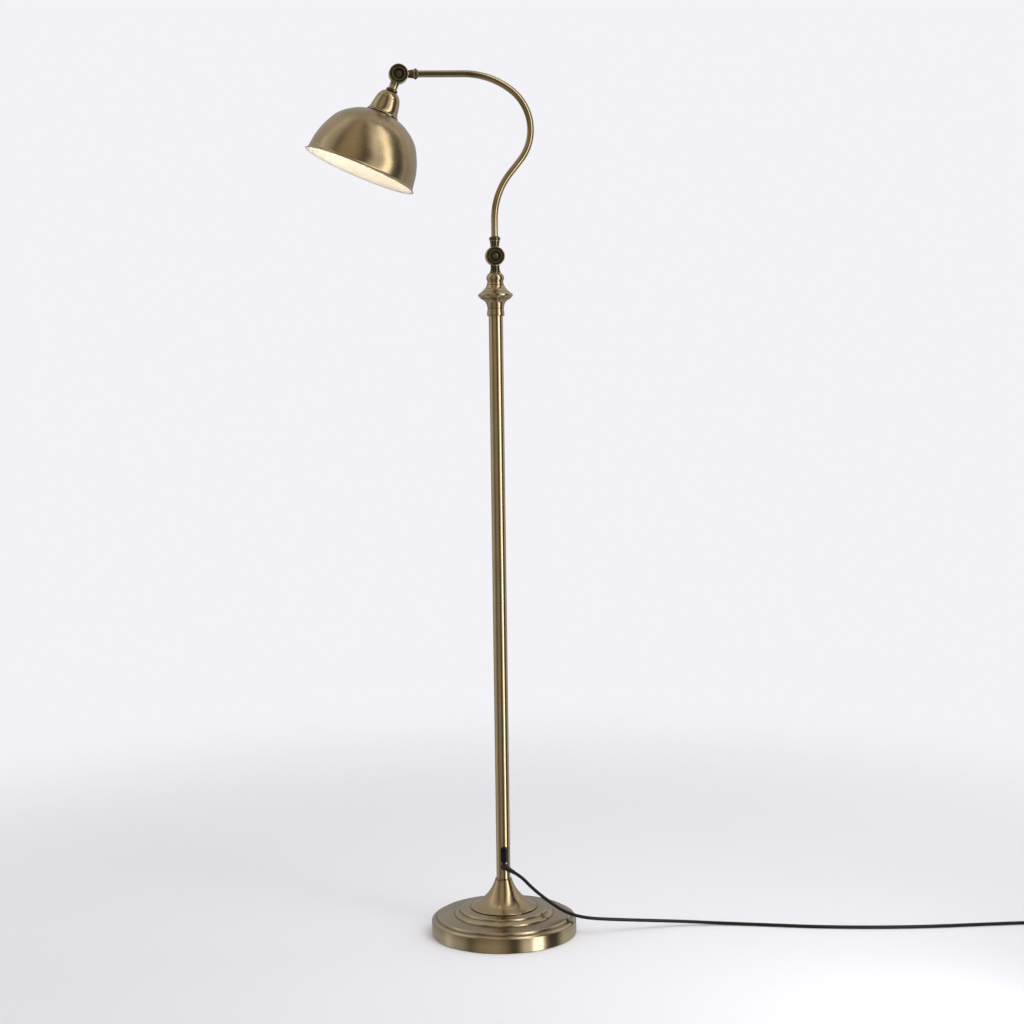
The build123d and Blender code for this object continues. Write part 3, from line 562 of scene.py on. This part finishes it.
def skin(outline, thickness):
    """Closed outline of a thin sheet that follows the given one on its axis side."""
    rows = [Vector(point) for point in outline]
    inner = []
    for index, here in enumerate(rows):
        along = rows[min(index + 1, len(rows) - 1)] - rows[max(index - 1, 0)]
        normal = Vector((along.y, -along.x)).normalized()
        inner.append(here - normal * thickness)
    return rows + inner[::-1]


def inset(points, amount):
    """The same outline drawn in towards the head's axis and away from its pivot."""
    return [(radius - amount, depth + amount) for radius, depth in points]


def make_knop():
    pole_top = [(0.0144, 1.104), (0.0153, 1.1064), (0.0154, 1.1086), (0.0149, 1.1124), (0.0143, 1.1174)]
    flare = [(0.0143, 1.1174), (0.0154, 1.123), (0.0178, 1.1284), (0.0217, 1.1318), (0.0264, 1.1346)]
    rim = [(0.0257, 1.1346), (0.027, 1.1353), (0.0306, 1.1396), (0.0306, 1.142), (0.0254, 1.146)]
    slope = [(0.0256, 1.146), (0.0202, 1.1506), (0.0165, 1.1558), (0.0147, 1.1604), (0.0139, 1.1644)]
    torus = [
        (0.0137, 1.1644), (0.0152, 1.1676), (0.0157, 1.1706), (0.0146, 1.1746), (0.0126, 1.1772),
        (0.011, 1.1786),
    ]
    knops = [
        ("knop_ferrule", through(pole_top) + through(flare)[1:], FERRULE_BORE),
        ("knop_disc", rounded(rim, [0.0004, 0.001, 0.001]), FERRULE_BORE),
        ("knop_neck", through(slope), NECK_BORE),
        ("knop_ring", through(torus), NECK_BORE),
    ]
    for node, outline, bore in knops:
        closed = outline + [Vector((bore, outline[-1].y)), Vector((bore, outline[0].y))]
        lathe(node + "_turned", closed, node, "knop_brass")


def make_base():
    cover = rounded(COVER_OUTLINE, COVER_ROUNDING)
    lathe("base_cover_spun", skin(cover, HOLLOW), "base_cover", "base_brass")
    trumpet = [Vector(point) for point in FOOT_OUTLINE] + through(TRUMPET_OUTLINE)
    lathe("base_trumpet_spun", skin(trumpet, HOLLOW), "base_trumpet", "antique_brass")


def make_head():
    shell = through(SHADE_OUTLINE) + through(SHADE_LIP)[1:]
    lathe(
        "shade_spun", skin(shell, SHADE_SHEET), "shade", "brass_head",
        sharp=60, body="head",
    )
    coat = through(inset(SHADE_OUTLINE, SHADE_SHEET)) + through(inset(SHADE_LIP, SHADE_SHEET))[1:-1]
    lathe(
        "shade_enamel", skin(coat, ENAMEL_COAT), "shade_lining", "white_enamel",
        sharp=60, body="head",
    )
    cup = through(CUP_SHOULDER) + through(CUP_SKIRT)
    lathe(
        "socket_cup_spun", skin(cup, SHADE_SHEET), "socket_cup", "cup_brass",
        sharp=40, body="head",
    )


def make_turned_pieces():
    make_knop()
    make_base()
    make_head()
    upper = [(POLE_RADIUS, POLE_SEAM), (POLE_RADIUS, POLE_TOP)]
    lathe("upper_pole_drawn", skin(upper, HOLLOW), "upper_pole_tube", "brass_tube")


# ---- studio -----------------------------------------------------------------------------------
FLOOR_RADIUS = 9.0
FLOOR_FADE = (0.5, 2.4)
BACKDROP = (0.895, 0.89, 0.93, 1)
PLAIN = (1.0, 1.0, 1.03)
WARM = (1.0, 0.90, 0.72)
# What the metal reflects from each side: degrees to the right of the camera, level and tint.
ROOM_BANDS = [
    (-170, 0.42, PLAIN), (-112, 0.50, PLAIN), (-100, 0.90, PLAIN), (-90, 0.55, PLAIN), (-66, 0.36, PLAIN),
    (-57, 0.12, WARM), (-40, 0.36, WARM), (-12, 0.44, WARM), (4, 0.26, WARM), (13, 0.04, WARM),
    (24, 0.10, WARM), (32, 0.95, PLAIN), (60, 0.80, PLAIN), (74, 0.06, PLAIN), (94, 0.06, PLAIN),
    (106, 0.70, PLAIN), (170, 0.42, PLAIN),
]
ROOM_LOW, ROOM_HIGH = (-0.1, 0.85), (0.6, 1.3)


def make_floor():
    """Pale flat floor that thins out softly with distance until only the backdrop is left."""
    mesh = bmesh.new()
    bmesh.ops.create_circle(mesh, cap_ends=True, segments=96, radius=FLOOR_RADIUS)
    data = bpy.data.meshes.new("floor")
    mesh.to_mesh(data)
    mesh.free()
    floor = bpy.data.objects.new("floor", data)
    bpy.context.collection.objects.link(floor)
    made = Shader("floor_paint")
    place = made.object_space()
    cloud = made.noise(place, 1.2, 2.0)
    made.color(made.ramp(cloud, (0.2, (0.87, 0.87, 0.91)), (0.8, (0.885, 0.885, 0.92))))
    made.roughness(made.scaled(cloud, 0.75, 0.85))
    fade = made.node(
        "MapRange", {"interpolation_type": "SMOOTHERSTEP"},
        Value=made.length(place), From_Min=FLOOR_FADE[0], From_Max=FLOOR_FADE[1],
    ).outputs[0]
    nothing = made.node("BsdfTransparent").outputs[0]
    blend = made.node("MixShader", i0=fade, i1=made.surface.outputs[0], i2=nothing)
    made.feed(made.tree.nodes["Material Output"].inputs["Surface"], blend.outputs[0])
    data.materials.append(made.material)
    floor.visible_glossy = False


def make_room():
    """Bands of light and dark round the lamp for the metal to reflect, and one plain tone as backdrop."""
    world = bpy.data.worlds.new("studio")
    bpy.context.scene.world = world
    world.use_nodes = True
    room = Nodes(world.node_tree)
    split = room.split(room.turned(room.node("TexCoord").outputs["Generated"], "Z", -CAMERA_AZIMUTH))
    azimuth = room.math("ARCTAN2", split["X"], room.math("MULTIPLY", split["Y"], -1.0))
    share = room.node("MapRange", Value=azimuth, From_Min=-pi, From_Max=pi).outputs[0]
    stops = [
        (0.5 + degrees_right / 360, tuple(level * value for value in tint))
        for degrees_right, level, tint in ROOM_BANDS
    ]
    (low, dim), (high, bright) = ROOM_LOW, ROOM_HIGH
    lift = room.node("MapRange", Value=split["Z"], From_Min=low, From_Max=high, To_Min=dim, To_Max=bright)
    bands = room.node("Background", Color=room.ramp(share, *stops), Strength=lift.outputs[0]).outputs[0]
    backdrop = room.node("Background", Color=BACKDROP).outputs[0]
    seen = room.node("LightPath").outputs["Is Camera Ray"]
    blend = room.node("MixShader", i0=seen, i1=bands, i2=backdrop)
    room.feed(room.tree.nodes["World Output"].inputs["Surface"], blend.outputs[0])


def area_light(name, power, size, place, turn=Matrix.Identity(4)):
    data = bpy.data.lights.new(name, "AREA")
    data.size = size
    data.energy = power
    light = bpy.data.objects.new(name, data)
    bpy.context.collection.objects.link(light)
    light.matrix_world = Matrix.Translation(place) @ turn
    return light


def softbox(name, azimuth, distance, height, width, tall, power):
    """Rectangular light that faces the pole. Azimuth is measured from the camera's side, right positive."""
    angle = CAMERA_AZIMUTH + radians(azimuth)
    place = Vector((distance * sin(angle), -distance * cos(angle), height))
    turn = (-Vector((place.x, place.y, 0))).to_track_quat("-Z", "Y").to_matrix().to_4x4()
    light = area_light(name, power, width, place, turn)
    light.data.shape = "RECTANGLE"
    light.data.size_y = tall
    light.visible_camera = False


def make_lights():
    softbox("strip_right", azimuth=52, distance=1.0, height=1.5, width=0.30, tall=4.0, power=10)
    overhead = area_light("overhead", power=16, size=3.0, place=(0, -0.4, 3.6))
    overhead.visible_glossy = False
    tilt = Matrix.Rotation(radians(52), 4, "X")
    fill = area_light("fill", power=60, size=4.0, place=(1.5, -0.6, 4.2), turn=tilt)
    fill.visible_glossy = False
    bpy.context.scene.view_settings.view_transform = "Standard"


make_camera()
make_materials()
make_cord()
dress_cad_nodes()
make_turned_pieces()
make_floor()
make_room()
make_lights()
